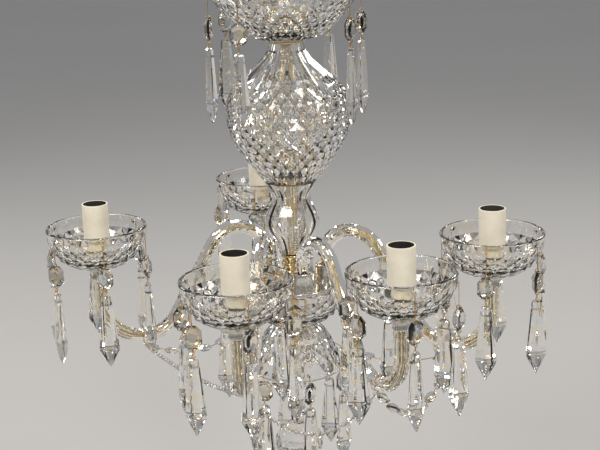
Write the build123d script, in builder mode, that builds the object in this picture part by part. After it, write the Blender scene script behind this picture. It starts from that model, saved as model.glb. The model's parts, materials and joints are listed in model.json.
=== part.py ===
from build123d import *
import math
import os

os.makedirs("parts", exist_ok=True)

# Five-arm cut-crystal chandelier. Sizes in millimetres, +Z up, origin at the centre of the hanging eye.
# Plan angles are counted in degrees from the front (-Y) towards the right-hand side (+X).

# ---------------------------------------------------------------- driving dimensions
# Hanging eye and the hollow centre tube that carries the whole column
eye_bore_radius = 10.0
eye_bar = 5.0
eye_width = 6.0
eye_shank_radius = 8.0
eye_shank_length = 10.0
eye_grip = 8.0
tube_radius = 5.0
tube_bore_radius = 3.2
bare_tube = 30.0

# Clearances
thread_clearance = 0.1
tube_clearance = 0.3
glass_clearance = 0.8
seat_clearance = 0.2
wire_gap = 0.3

# Top bowl
bowl_rim_radius = 77.0
bowl_base_radius = 20.0
bowl_depth = 57.0
bowl_fullness = 1.52
bowl_wall = 4.5
bowl_panels = 24

# Pear-shaped body: fluted neck and shoulder, plain band, diamond-cut taper
body_neck_radius = 17.0
body_belly_radius = 64.0
body_base_radius = 27.0
shoulder_height = 61.0
band_height = 15.0
taper_height = 66.0
body_wall = 5.0
body_flutes = 16
cut_relief = 1.1
shoulder_rows = 5
taper_rows = 6
flute_relief = 1.2

# Baluster
baluster_top_radius = 27.0
baluster_waist_radius = 19.5
baluster_belly_radius = 28.0
baluster_foot_radius = 14.6
baluster_height = 76.5
baluster_waist_drop = 18.0
baluster_belly_drop = 42.5
baluster_ankle_radius = 18.0
baluster_ankle_drop = 64.0
baluster_wall = 5.0

# Brass collars, washers and nuts on the tube
washer_thickness = 1.5
body_collar_radius = 18.0
body_collar_thickness = 2.0
washer_radius = 24.0
bowl_nut_radius = 14.0
bowl_nut_height = 22.0
ring_collar_radius = 12.5
ring_collar_groove = 2.0
ring_collar_height = 34.0
ring_count = 4
spacer_radius = 8.0
low_washer_radius = 16.0
low_nut_radius = 12.0
low_nut_height = 8.0

# Arm plate with its cups
arm_count = 5
cup_circle_radius = 33.0
first_cup_azimuth = 16.4
cup_height = 18.0
cup_wall = 1.2
plate_thickness = 4.0
plate_margin = 1.5

# Glass arms: rise, arch, straight run, low bend, rise to the pan
arm_radius = 7.6
arm_sides = 8
arm_foot_rise = 27.0
arch_radius = 31.0
descent_angle = 60.8
arm_run = 87.7
low_bend_radius = 42.0
arm_end_rise = 34.9
# how far each arm is turned in its cup, from the first cup round to the right
arm_turns = (13.4, -20.7, 34.8, 43.2, 47.2)
arm_letters = "cdeab"

# Brass ferrules at both ends of each arm
ferrule_wall = 1.1
ferrule_lip = 1.4
ferrule_lip_thickness = 1.6
gallery_radius = 13.5
gallery_thickness = 4.0
gallery_socket = 10.0

# Candle pans
pan_rim_radius = 52.5
pan_base_radius = 16.0
pan_depth = 43.0
pan_fullness = 2.0
pan_wall = 3.5
pan_panels = 18
pan_holes = 6

# Lampholders and candle sleeves
nipple_radius = 4.0
stub_radius = 7.0
stub_flange_radius = 9.0
stub_flange_thickness = 1.5
stub_height = 12.5
skirt_radius = 9.5
skirt_height = 13.0
lip_thickness = 1.2
lip_ledge = 0.9
socket_radius = 7.0
socket_wall = 2.4
socket_rise = 18.0
socket_depth = 20.0
sleeve_radius = 13.5
sleeve_wall = 1.5
sleeve_height = 38.0

# Receiver bowl and lower dome under the arm plate
receiver_rim_radius = 54.0
receiver_base_radius = 22.0
receiver_depth = 41.0
receiver_fullness = 2.0
receiver_overlap = 3.0
receiver_wall = 4.0
dome_rim_radius = 48.0
dome_top_radius = 20.0
dome_depth = 52.5
dome_fullness = 1.5
dome_wall = 4.0
dome_panels = 18

# Finial
finial_recess = 14.0
finial_grip = 20.0
finial_cap_radius = 9.0
finial_cap_height = 6.0
finial_neck_radius = 5.5
finial_bead_radius = 10.0
finial_bead_drop = 32.0
finial_ring_radius = 8.0
finial_ring_drop = 46.0
finial_ring_pitch = 7.0
finial_ring_count = 4
finial_ball_radius = 26.0
finial_ball_height = 44.0
finial_ball_drop = 100.0
finial_tip_drop = 135.0
finial_bore_wall = 2.5

# Hanging drops: hook wire, octagon, link wire, pointed prism
hole_depth = 6.0
hole_width = 3.4
wire_radius = 0.5
hook_stand = 2.0
hook_inner_rise = 3.0
long_leg = 25.0
short_leg = 7.0
octagon_width = 18.0
octagon_height = 22.0
octagon_thickness = 9.0
octagon_corner = 5.0
octagon_table = 0.5
link_length = 8.0
short_link = 5.0
prism_length = 76.0
prism_top_width = 9.5
prism_width = 21.0
prism_point = 20.0
prism_top_thickness = 7.0
prism_thickness = 12.0
prism_edge_thickness = 3.0
prism_tip_thickness = 6.0
prism_tip_width = 0.8
drop_yaw_swing = 38.0
drop_yaw_pitch = 137.5
top_drop_holes = 8
first_top_drop = 54.0
top_drop_count = 7
dome_drop_count = 6
first_dome_drop = 15.0
pan_drop_phase = 22.0

# Bead swags between the low bends of neighbouring arms
swag_beads = 8
swag_bead_length = 15.0
swag_bead_width = 12.0
swag_bead_thickness = 7.0
swag_bead_corner = 3.5
# droop of each swag below its ends, from the first arm round to the right
swag_droops = (42.0, 38.0, 34.0, 16.0, 52.0)

# ---------------------------------------------------------------- levels down the column
eye_base_z = -(eye_bore_radius + eye_bar + eye_shank_length)
bowl_rim_z = eye_base_z - bare_tube
bowl_base_z = bowl_rim_z - bowl_depth
body_top_z = bowl_base_z - body_collar_thickness
band_top_z = body_top_z - shoulder_height
band_base_z = band_top_z - band_height
body_base_z = band_base_z - taper_height
baluster_top_z = body_base_z - washer_thickness
baluster_base_z = baluster_top_z - baluster_height
plate_top_z = baluster_base_z - ring_collar_height
plate_base_z = plate_top_z - plate_thickness
receiver_rim_z = plate_base_z + receiver_overlap
receiver_base_z = receiver_rim_z - receiver_depth
dome_top_z = receiver_base_z - washer_thickness
dome_rim_z = dome_top_z - dome_depth
finial_top_z = dome_rim_z + finial_recess
tube_end_z = finial_top_z - finial_grip

# Arm path, as distances out from its own cup and heights
descent = math.radians(descent_angle)
arch_start_z = plate_top_z + arm_foot_rise
run_start_x = arch_radius * (1 + math.sin(descent))
run_start_z = arch_start_z + arch_radius * math.cos(descent)
run_end_x = run_start_x + arm_run * math.cos(descent)
run_end_z = run_start_z - arm_run * math.sin(descent)
bend_x = run_end_x + low_bend_radius * math.sin(descent)
bend_z = run_end_z + low_bend_radius * math.cos(descent)
arm_reach = bend_x + low_bend_radius
arm_top_z = bend_z + arm_end_rise

# Levels over the end of an arm
pan_base_z = arm_top_z + gallery_thickness
pan_rim_z = pan_base_z + pan_depth
pan_floor_z = pan_base_z + pan_wall
skirt_base_z = pan_floor_z + stub_height
sleeve_base_z = skirt_base_z + skirt_height
socket_top_z = sleeve_base_z + socket_rise

ferrule_radius = arm_radius + seat_clearance + ferrule_wall
cup_bore_radius = ferrule_radius + seat_clearance
cup_radius = cup_bore_radius + cup_wall
tube_hole_radius = tube_radius + tube_clearance
glass_hole_radius = tube_radius + glass_clearance
holder_bore = sleeve_radius - sleeve_wall - seat_clearance


# ---------------------------------------------------------------- helpers
def plan_point(radius, azimuth, z=0.0):
    """Point at a plan angle and a distance from the column."""
    turn = math.radians(azimuth)
    return Vector(radius * math.sin(turn), -radius * math.cos(turn), z)


def facing(azimuth, point=(0, 0, 0)):
    """Placement whose own +X points outwards at a plan angle."""
    return Location(point, (0, 0, azimuth - 90))


def superellipse(share, fullness):
    """Distance left to a bowl's wall, as a share of its span, at a share of its depth."""
    return max(0.0, 1 - share**fullness) ** (1 / fullness)


def bowl_sections(rim_radius, base_radius, depth, fullness, steps):
    """Heights below the rim and radii of a bowl's wall, closer together towards the base."""
    spots = []
    for step in range(steps + 1):
        share = math.sin(math.pi / 2 * step / steps)
        radius = base_radius + (rim_radius - base_radius) * superellipse(share, fullness)
        spots.append((share * depth, radius))
    return spots


def wall_radius(rim_radius, base_radius, depth, fullness, below_rim):
    """Outer radius of a bowl's wall at a distance below its rim."""
    share = below_rim / depth
    return base_radius + (rim_radius - base_radius) * superellipse(share, fullness)


def panel_bowl(rim_radius, base_radius, depth, fullness, wall, panels, hole_radius, steps=5):
    """Panel-cut bowl with its rim at height 0 and a hole in the floor."""
    inner_base = max(base_radius - wall / 2, hole_radius + wall / 2)
    with BuildPart() as hollow:
        for below, radius in bowl_sections(rim_radius - wall, inner_base, depth - wall, fullness, steps):
            with BuildSketch(Plane.XY.offset(-below)):
                RegularPolygon(radius, panels, major_radius=False, rotation=180 / panels)
        loft(ruled=True)
    with BuildPart() as bowl:
        for below, radius in bowl_sections(rim_radius, base_radius, depth, fullness, steps):
            with BuildSketch(Plane.XY.offset(-below)):
                RegularPolygon(radius, panels, major_radius=False, rotation=180 / panels)
        loft(ruled=True)
        add(hollow.part, mode=Mode.SUBTRACT)
        with BuildSketch(Plane.XY.offset(-depth)):
            Circle(hole_radius)
        extrude(amount=depth, mode=Mode.SUBTRACT)
    return bowl


def drill_rim(bowl, rim_radius, below_rim, azimuths):
    """Holes through a bowl's wall for the hook wires, at plan angles."""
    with BuildPart() as drilled:
        add(bowl.part)
        for azimuth in azimuths:
            side = Plane.XZ.rotated((0, 0, azimuth)).offset(rim_radius)
            with BuildSketch(side):
                with Locations((0, -below_rim)):
                    RegularPolygon(hole_width / 2, 6)
            extrude(amount=2 * rim_radius / 3, both=True, mode=Mode.SUBTRACT)
    return drilled


def cut_ring(radius, points, relief, first_raised):
    """Closed outline whose corners stand in and out by a relief, as flutes and diamond cuts leave it."""
    corners = []
    for corner in range(2 * points):
        raised = relief if (corner + first_raised) % 2 else -relief
        turn = math.radians(180 / points * corner)
        corners.append(((radius + raised) * math.cos(turn), (radius + raised) * math.sin(turn)))
    Polyline(*corners, close=True)


def turned(points, bore_radius=0.0):
    """Solid turned on the column axis through outline points, with an optional bore."""
    low = min(height for radius, height in points)
    high = max(height for radius, height in points)
    with BuildPart() as piece:
        with BuildSketch(Plane.XZ):
            with BuildLine():
                Polyline((0, high), *points, (0, low), close=True)
            make_face()
        revolve(axis=Axis.Z)
        if bore_radius:
            with BuildSketch(Plane.XY.offset(low)):
                Circle(bore_radius)
            extrude(amount=high - low, mode=Mode.SUBTRACT)
    return piece


def octagon_outline(width, height, corner):
    """Outline of an octagon bead, its long way along +Y."""
    half_width = width / 2
    half_height = height / 2
    corners = (
        (half_width, half_height - corner),
        (half_width - corner, half_height),
        (corner - half_width, half_height),
        (-half_width, half_height - corner),
        (-half_width, corner - half_height),
        (corner - half_width, -half_height),
        (half_width - corner, -half_height),
        (half_width, corner - half_height),
    )
    Polyline(*corners, close=True)


def octagon_bead(width, height, thickness, corner):
    """Cut octagon: a girdle with a smaller table in front and behind, its long way along Z."""
    with BuildPart() as bead:
        for side, scale in ((-1, octagon_table), (0, 1), (1, octagon_table)):
            with BuildSketch(Plane.XZ.offset(side * thickness / 2)):
                with BuildLine():
                    octagon_outline(width * scale, height * scale, corner * scale)
                make_face()
        loft(ruled=True)
    return bead


def copies(pieces, places):
    """One part holding every piece at every place, as separate solids."""
    with BuildPart() as group:
        with Locations(*places):
            for piece in pieces:
                add(piece.part)
    return group


def save(name, piece):
    """Label a finished piece and write it to its own file."""
    piece.part.label = name
    export_step(piece.part, f"parts/{name}.step")


# ---------------------------------------------------------------- eye and centre tube
with BuildPart() as hanging_eye:
    with BuildSketch(Plane.XZ):
        Circle(eye_bore_radius + eye_bar)
    extrude(amount=eye_width / 2, both=True)
    with BuildSketch(Plane.XY.offset(eye_base_z)):
        Circle(eye_shank_radius)
    extrude(amount=eye_shank_length + eye_bar / 2)
    with BuildSketch(Plane.XY.offset(eye_base_z)):
        Circle(tube_radius + thread_clearance)
    extrude(amount=eye_grip, mode=Mode.SUBTRACT)
    with BuildSketch(Plane.XZ):
        Circle(eye_bore_radius)
    extrude(amount=eye_shank_radius, both=True, mode=Mode.SUBTRACT)
save("hanging_eye", hanging_eye)

tube_top_z = eye_base_z + eye_grip
with BuildPart() as centre_tube:
    with BuildSketch(Plane.XY.offset(tube_end_z)):
        Circle(tube_radius)
        Circle(tube_bore_radius, mode=Mode.SUBTRACT)
    extrude(amount=tube_top_z - tube_end_z)
save("centre_tube", centre_tube)

# ---------------------------------------------------------------- top bowl
plain_top_bowl = panel_bowl(
    bowl_rim_radius, bowl_base_radius, bowl_depth, bowl_fullness, bowl_wall, bowl_panels, glass_hole_radius
)
top_hole_step = 360 / top_drop_holes
top_holes = [first_top_drop + top_hole_step * k for k in range(top_drop_holes)]
drilled_top_bowl = drill_rim(plain_top_bowl, bowl_rim_radius, hole_depth, top_holes)
top_bowl = copies([drilled_top_bowl], [Location((0, 0, bowl_rim_z))])
save("top_bowl", top_bowl)

# ---------------------------------------------------------------- pear-shaped body
shoulder_sections = []
for row in range(shoulder_rows + 1):
    part_way = row / shoulder_rows
    swell = part_way**2 * (3 - 2 * part_way)
    level = body_top_z - part_way * shoulder_height
    shoulder_sections.append((level, body_neck_radius + swell * (body_belly_radius - body_neck_radius)))
taper_sections = []
for row in range(taper_rows + 1):
    part_way = row / taper_rows
    swell = math.cos(math.pi / 2 * part_way)
    level = band_base_z - part_way * taper_height
    taper_sections.append((level, body_base_radius + swell * (body_belly_radius - body_base_radius)))

with BuildPart() as body_hollow:
    for level, radius in shoulder_sections + taper_sections:
        with BuildSketch(Plane.XY.offset(level)):
            RegularPolygon(radius - body_wall, body_flutes)
    loft(ruled=True)

diamond_sections = [(band_top_z, body_belly_radius)] + taper_sections
last_row = len(diamond_sections) - 1
with BuildPart() as pear_body:
    for row, (level, radius) in enumerate(shoulder_sections):
        flute = flute_relief * (1 - row / shoulder_rows)
        with BuildSketch(Plane.XY.offset(level)):
            with BuildLine():
                cut_ring(radius, body_flutes, flute, 0)
            make_face()
    loft(ruled=True)
    # raised corners swap sides from row to row, which leaves the crossing grooves of the diamond cutting
    for row, (level, radius) in enumerate(diamond_sections):
        relief = 0 if row in (0, last_row) else cut_relief
        with BuildSketch(Plane.XY.offset(level)):
            with BuildLine():
                cut_ring(radius, body_flutes, relief, row)
            make_face()
    loft(ruled=True)
    add(body_hollow.part, mode=Mode.SUBTRACT)
save("pear_body", pear_body)

# ---------------------------------------------------------------- baluster
waist_z = baluster_top_z - baluster_waist_drop
belly_z = baluster_top_z - baluster_belly_drop
ankle_z = baluster_top_z - baluster_ankle_drop
with BuildPart() as baluster:
    for wall, mode in ((0, Mode.ADD), (baluster_wall, Mode.SUBTRACT)):
        with BuildSketch(Plane.XZ):
            with BuildLine():
                Spline(
                    (baluster_top_radius - wall, baluster_top_z),
                    (baluster_waist_radius - wall, waist_z),
                    (baluster_belly_radius - wall, belly_z),
                    (baluster_ankle_radius - wall, ankle_z),
                    (baluster_foot_radius - wall, baluster_base_z),
                )
                Polyline(
                    (baluster_foot_radius - wall, baluster_base_z),
                    (0, baluster_base_z),
                    (0, baluster_top_z),
                    (baluster_top_radius - wall, baluster_top_z),
                )
            make_face()
        revolve(axis=Axis.Z, mode=mode)
save("baluster", baluster)

# ---------------------------------------------------------------- brass collars, washers and nuts
bowl_floor_z = bowl_base_z + bowl_wall
bowl_nut = turned(
    (
        (bowl_nut_radius, bowl_floor_z),
        (bowl_nut_radius, bowl_floor_z + bowl_nut_height / 4),
        (bowl_nut_radius * 0.6, bowl_floor_z + bowl_nut_height / 2),
        (bowl_nut_radius * 0.6, bowl_floor_z + bowl_nut_height),
    )[::-1],
    tube_hole_radius,
)
body_collar = turned(
    ((body_collar_radius, body_top_z + body_collar_thickness), (body_collar_radius, body_top_z)),
    tube_hole_radius,
)
body_washer = turned(
    ((washer_radius, baluster_top_z + washer_thickness), (washer_radius, baluster_top_z)), tube_hole_radius
)
ring_pitch = ring_collar_height / ring_count
collar_outline = []
for ring in range(ring_count):
    ring_top_z = baluster_base_z - ring * ring_pitch
    collar_outline += [
        (ring_collar_radius, ring_top_z),
        (ring_collar_radius, ring_top_z - ring_pitch / 2),
        (ring_collar_radius - ring_collar_groove, ring_top_z - ring_pitch / 2),
        (ring_collar_radius - ring_collar_groove, ring_top_z - ring_pitch),
    ]
ring_collar = turned(collar_outline, tube_hole_radius)
receiver_floor_z = receiver_base_z + receiver_wall
spacer = turned(((spacer_radius, plate_base_z), (spacer_radius, receiver_floor_z)), tube_hole_radius)
dome_washer = turned(((low_washer_radius, receiver_base_z), (low_washer_radius, dome_top_z)), tube_hole_radius)
low_nut_top_z = dome_top_z - dome_wall
with BuildPart() as low_nut:
    with BuildSketch(Plane.XY.offset(low_nut_top_z)):
        RegularPolygon(low_nut_radius, 6)
        Circle(tube_hole_radius, mode=Mode.SUBTRACT)
    extrude(amount=-low_nut_height)
column_nuts = copies(
    [bowl_nut, body_collar, body_washer, ring_collar, spacer, dome_washer, low_nut], [Location((0, 0, 0))]
)
save("column_nuts", column_nuts)

# ---------------------------------------------------------------- arm plate and its cups
cup_azimuths = [first_cup_azimuth + 360 / arm_count * k for k in range(arm_count)]
cup_points = [plan_point(cup_circle_radius, azimuth) for azimuth in cup_azimuths]
cup_places = [Location(point) for point in cup_points]
with BuildPart() as arm_plate:
    with BuildSketch(Plane.XY.offset(plate_base_z)):
        Circle(cup_circle_radius + cup_radius + plate_margin)
        Circle(tube_hole_radius, mode=Mode.SUBTRACT)
    extrude(amount=plate_thickness)
    with BuildSketch(Plane.XY.offset(plate_top_z)):
        with Locations(*cup_places):
            Circle(cup_radius)
            Circle(cup_bore_radius, mode=Mode.SUBTRACT)
    extrude(amount=cup_height)
save("arm_plate", arm_plate)

# ---------------------------------------------------------------- one glass arm, outwards along its own +X
with BuildPart() as arm:
    with BuildLine(Plane.XZ) as arm_path:
        Line((0, plate_top_z), (0, arch_start_z))
        CenterArc((arch_radius, arch_start_z), arch_radius, 180, -90 - descent_angle)
        Line((run_start_x, run_start_z), (run_end_x, run_end_z))
        CenterArc((bend_x, bend_z), low_bend_radius, 270 - descent_angle, 90 + descent_angle)
        Line((arm_reach, bend_z), (arm_reach, arm_top_z))
    with BuildSketch(Plane.XY.offset(plate_top_z)):
        RegularPolygon(arm_radius, arm_sides)
    sweep(path=arm_path.line)
arm_azimuths = [cup_azimuths[k] + arm_turns[k] for k in range(arm_count)]
arm_places = [facing(arm_azimuths[k], cup_points[k]) for k in range(arm_count)]
glass_arms = copies([arm], arm_places)
save("glass_arms", glass_arms)

# ---------------------------------------------------------------- brass ferrules at both ends of the arms
ferrule_bore = arm_radius + seat_clearance
cup_rim_z = plate_top_z + cup_height
with BuildPart() as foot_ferrule:
    with BuildSketch(Plane.XY.offset(plate_top_z)):
        Circle(ferrule_radius)
        Circle(ferrule_bore, mode=Mode.SUBTRACT)
    extrude(amount=cup_height)
    with BuildSketch(Plane.XY.offset(cup_rim_z)):
        Circle(ferrule_radius + ferrule_lip)
        Circle(ferrule_bore, mode=Mode.SUBTRACT)
    extrude(amount=ferrule_lip_thickness)
with BuildPart() as gallery:
    with BuildSketch(Plane.XY.offset(arm_top_z)):
        Circle(gallery_radius)
    extrude(amount=gallery_thickness)
    with BuildSketch(Plane.XY.offset(arm_top_z - gallery_socket)):
        Circle(ferrule_radius)
        Circle(ferrule_bore, mode=Mode.SUBTRACT)
    extrude(amount=gallery_socket)
end_places = [place * Location((arm_reach, 0, 0)) for place in arm_places]
with BuildPart() as arm_ferrules:
    with Locations(*arm_places):
        add(foot_ferrule.part)
    with Locations(*end_places):
        add(gallery.part)
save("arm_ferrules", arm_ferrules)

# ---------------------------------------------------------------- candle pans
plain_pan = panel_bowl(
    pan_rim_radius, pan_base_radius, pan_depth, pan_fullness, pan_wall, pan_panels, nipple_radius + seat_clearance
)
pan_hole_step = 360 / pan_holes
drilled_pan = drill_rim(plain_pan, pan_rim_radius, hole_depth, [pan_hole_step * k for k in range(pan_holes)])
# all pans stand turned the same way against their arms, except the last, which is turned the other way
pan_phases = [pan_drop_phase if k == arm_count - 1 else -pan_drop_phase for k in range(arm_count)]
pan_azimuths = [arm_azimuths[k] + pan_phases[k] for k in range(arm_count)]
pan_centres = [place.position for place in end_places]
pan_places = [
    Location((centre.X, centre.Y, pan_rim_z), (0, 0, azimuth)) for centre, azimuth in zip(pan_centres, pan_azimuths)
]
candle_pans = copies([drilled_pan], pan_places)
save("candle_pans", candle_pans)

# ---------------------------------------------------------------- lampholders and sleeves
stub_top_z = pan_floor_z + stub_height
with BuildPart() as lampholder:
    with BuildSketch(Plane.XY.offset(pan_base_z)):
        Circle(nipple_radius)
    extrude(amount=pan_wall)
    with BuildSketch(Plane.XY.offset(pan_floor_z)):
        Circle(stub_flange_radius)
    extrude(amount=stub_flange_thickness)
    with BuildSketch(Plane.XY.offset(pan_floor_z)):
        Circle(stub_radius)
    extrude(amount=stub_height)
    with BuildSketch(Plane.XY.offset(skirt_base_z)):
        Circle(skirt_radius)
    extrude(amount=skirt_height)
    with BuildSketch(Plane.XY.offset(sleeve_base_z)):
        Circle(sleeve_radius - sleeve_wall + lip_ledge)
    extrude(amount=-lip_thickness)
    with BuildSketch(Plane.XY.offset(sleeve_base_z)):
        Circle(holder_bore)
    extrude(amount=socket_rise)
    with BuildSketch(Plane.XY.offset(socket_top_z)):
        Circle(socket_radius)
    extrude(amount=-socket_depth, mode=Mode.SUBTRACT)
with BuildPart() as sleeve:
    with BuildSketch(Plane.XY.offset(sleeve_base_z)):
        Circle(sleeve_radius)
        Circle(sleeve_radius - sleeve_wall, mode=Mode.SUBTRACT)
    extrude(amount=sleeve_height)
lampholders = copies([lampholder], end_places)
save("lampholders", lampholders)
candle_sleeves = copies([sleeve], end_places)
save("candle_sleeves", candle_sleeves)

# ---------------------------------------------------------------- receiver bowl and lower dome
receiver = panel_bowl(
    receiver_rim_radius,
    receiver_base_radius,
    receiver_depth,
    receiver_fullness,
    receiver_wall,
    pan_panels,
    glass_hole_radius,
)
receiver_bowl = copies([receiver], [Location((0, 0, receiver_rim_z))])
save("receiver_bowl", receiver_bowl)

dome_hole_step = 360 / dome_drop_count
dome_holes = [first_dome_drop + dome_hole_step * k for k in range(dome_drop_count)]
plain_dome = panel_bowl(
    dome_rim_radius, dome_top_radius, dome_depth, dome_fullness, dome_wall, dome_panels, glass_hole_radius
)
# the dome is the same form turned over, so its holes run round the other way
drilled_dome = drill_rim(plain_dome, dome_rim_radius, hole_depth, [180 - azimuth for azimuth in dome_holes])
lower_dome = copies([drilled_dome], [Location((0, 0, dome_rim_z), (180, 0, 0))])
save("lower_dome", lower_dome)

# ---------------------------------------------------------------- finial
finial_outline = [
    (finial_cap_radius, finial_top_z),
    (finial_cap_radius, finial_top_z - finial_cap_height),
    (tube_radius + finial_bore_wall, finial_top_z - finial_cap_height),
    (tube_radius + finial_bore_wall, finial_top_z - finial_grip),
    (finial_bead_radius, finial_top_z - finial_bead_drop),
    (finial_neck_radius, finial_top_z - finial_bead_drop - finial_bead_radius / 2),
]
for ring in range(finial_ring_count):
    ring_z = finial_top_z - finial_ring_drop - ring * finial_ring_pitch
    finial_outline += [
        (finial_neck_radius, ring_z + finial_ring_pitch / 3),
        (finial_ring_radius, ring_z),
        (finial_neck_radius, ring_z - finial_ring_pitch / 3),
    ]
ball_z = finial_top_z - finial_ball_drop
ball_top_z = ball_z + finial_ball_height / 2
ball_base_z = ball_z - finial_ball_height / 2
tip_z = finial_top_z - finial_tip_drop
with BuildPart() as finial:
    with BuildSketch(Plane.XZ):
        with BuildLine():
            Polyline((0, finial_top_z), *finial_outline, (finial_neck_radius, ball_top_z))
            ThreePointArc(
                (finial_neck_radius, ball_top_z), (finial_ball_radius, ball_z), (finial_neck_radius, ball_base_z)
            )
            Polyline((finial_neck_radius, ball_base_z), (0, tip_z), (0, finial_top_z))
        make_face()
    revolve(axis=Axis.Z)
    with BuildSketch(Plane.XY.offset(finial_top_z)):
        Circle(tube_radius + thread_clearance)
    extrude(amount=-finial_grip, mode=Mode.SUBTRACT)
save("finial", finial)

# ---------------------------------------------------------------- one hanging drop, its rim hole at the origin
def hanging_drop(name, place, leg, link, bead_yaw, prism_yaw, rim_wall, inner_rise):
    """Hook wire, octagon, link wire and prism hanging from a rim hole, outwards along their own +X."""
    inner_x = -(hook_stand + rim_wall + hook_stand)
    bead_top_z = -leg
    bead_base_z = bead_top_z - octagon_height
    prism_top_z = bead_base_z - link
    prism_base_z = prism_top_z - prism_length
    prism_sections = (
        (prism_top_z, prism_top_width, prism_top_thickness),
        (prism_base_z + prism_point, prism_width, prism_thickness),
        (prism_base_z, prism_tip_width, prism_tip_thickness),
    )
    with BuildPart() as hook:
        with BuildLine(Plane.XZ) as hook_path:
            Polyline((inner_x, inner_rise), (inner_x, 0), (0, 0), (0, bead_top_z + wire_gap))
        with BuildSketch(Plane.XY.offset(inner_rise)):
            with Locations((inner_x, 0)):
                RegularPolygon(wire_radius, 4)
        sweep(path=hook_path.line, transition=Transition.RIGHT)
    with BuildPart() as link_wire:
        with BuildSketch(Plane.XY.offset(prism_top_z + wire_gap)):
            RegularPolygon(wire_radius, 4)
        extrude(amount=link - 2 * wire_gap)
    with BuildPart() as prism:
        for level, width, thickness in prism_sections:
            edge = min(prism_edge_thickness, thickness / 2)
            corners = (
                (0, thickness / 2),
                (width / 2, edge / 2),
                (width / 2, -edge / 2),
                (0, -thickness / 2),
                (-width / 2, -edge / 2),
                (-width / 2, edge / 2),
            )
            with BuildSketch(Plane.XY.offset(level)):
                with BuildLine():
                    Polyline(*corners, close=True)
                make_face()
        loft(ruled=True)
    with BuildPart() as drop:
        with Locations(place):
            add(hook.part)
            add(link_wire.part)
        with Locations(place * Location((0, 0, bead_top_z - octagon_height / 2), (0, 0, bead_yaw))):
            add(octagon.part)
        with Locations(place * Location((0, 0, 0), (0, 0, prism_yaw))):
            add(prism.part)
    save(name, drop)
    # the wire turns in the middle of the bowl's wall
    drop_pivots[name] = place * Location((-hook_stand - rim_wall / 2, 0, 0))


drop_pivots = {}
octagon = octagon_bead(octagon_width, octagon_height, octagon_thickness, octagon_corner)


def yaw(number):
    """Turn of a hanging piece from its rim, uneven from one piece to the next."""
    return 90 + drop_yaw_swing * math.sin(math.radians(drop_yaw_pitch * number))


def rim_place(radius, below, azimuth, centre, rim_z):
    """Place of a hook wire's leg, just outside a bowl's rim hole."""
    point = centre + plan_point(radius + hook_stand, azimuth)
    return facing(azimuth, (point.X, point.Y, rim_z - below))


column = Vector(0, 0, 0)
top_hole_radius = wall_radius(bowl_rim_radius, bowl_base_radius, bowl_depth, bowl_fullness, hole_depth)
for k in range(top_drop_count):
    place = rim_place(top_hole_radius, hole_depth, top_holes[k], column, bowl_rim_z)
    name = f"top_drop_{k + 1}"
    hanging_drop(name, place, long_leg, link_length, yaw(k), yaw(k + 0.5), bowl_wall, hook_inner_rise)

pan_hole_radius = wall_radius(pan_rim_radius, pan_base_radius, pan_depth, pan_fullness, hole_depth)
for arm_index in range(arm_count):
    for k in range(pan_holes):
        azimuth = pan_azimuths[arm_index] + pan_hole_step * k
        place = rim_place(pan_hole_radius, hole_depth, azimuth, pan_centres[arm_index], pan_rim_z)
        number = arm_index * pan_holes + k
        name = f"pan_{arm_letters[arm_index]}_drop_{k + 1}"
        bead_yaw = yaw(number + 3)
        hanging_drop(name, place, long_leg, link_length, bead_yaw, yaw(number + 3.5), pan_wall, hook_inner_rise)

for k in range(dome_drop_count):
    place = rim_place(dome_rim_radius, -hole_depth, dome_holes[k], column, dome_rim_z)
    name = f"dome_drop_{k + 1}"
    # the dome narrows upwards, so these hooks end downwards inside it
    hanging_drop(name, place, short_leg, short_link, yaw(k + 40), yaw(k + 40.5), dome_wall, -hook_inner_rise)

# ---------------------------------------------------------------- bead swags and the wires that carry them
swag_bead = octagon_bead(swag_bead_width, swag_bead_length, swag_bead_thickness, swag_bead_corner)
ring_inner = arm_radius + wire_gap
ring_outer = ring_inner + 2 * wire_radius
with BuildPart() as arm_ring:
    with BuildSketch(Plane.YZ.offset(bend_x)):
        with Locations((0, bend_z - low_bend_radius)):
            RegularPolygon(ring_outer, arm_sides)
            RegularPolygon(ring_inner, arm_sides, mode=Mode.SUBTRACT)
    extrude(amount=wire_radius, both=True)
ring_places = [place * Location((bend_x, 0, bend_z - low_bend_radius)) for place in arm_places]


def swag_point(start, end, droop, share):
    """Point of a swag at a share of its way from one arm to the next."""
    point = start + (end - start) * share
    return Vector(point.X, point.Y, point.Z - 4 * droop * share * (1 - share))


bead_locations = []
pin_spans = []
for k in range(arm_count):
    start_centre = ring_places[k].position
    end_centre = ring_places[(k + 1) % arm_count].position
    hang = Vector(0, 0, -ring_outer - wire_gap)
    start = start_centre + hang
    end = end_centre + hang
    spacing = 1 / swag_beads
    for bead in range(swag_beads):
        share = (bead + 0.5) * spacing
        middle = swag_point(start, end, swag_droops[k], share)
        ahead = swag_point(start, end, swag_droops[k], share + spacing / 4)
        behind = swag_point(start, end, swag_droops[k], share - spacing / 4)
        along = (ahead - behind).normalized()
        frame = Plane(origin=middle, x_dir=Vector(0, 0, 1).cross(along), z_dir=along)
        bead_locations.append(frame.location)
        half_bead = along * (swag_bead_length / 2 + wire_gap)
        pin_spans.append((middle - half_bead, middle + half_bead, start, end))
bead_swags = copies([swag_bead], bead_locations)
save("bead_swags", bead_swags)

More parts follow.
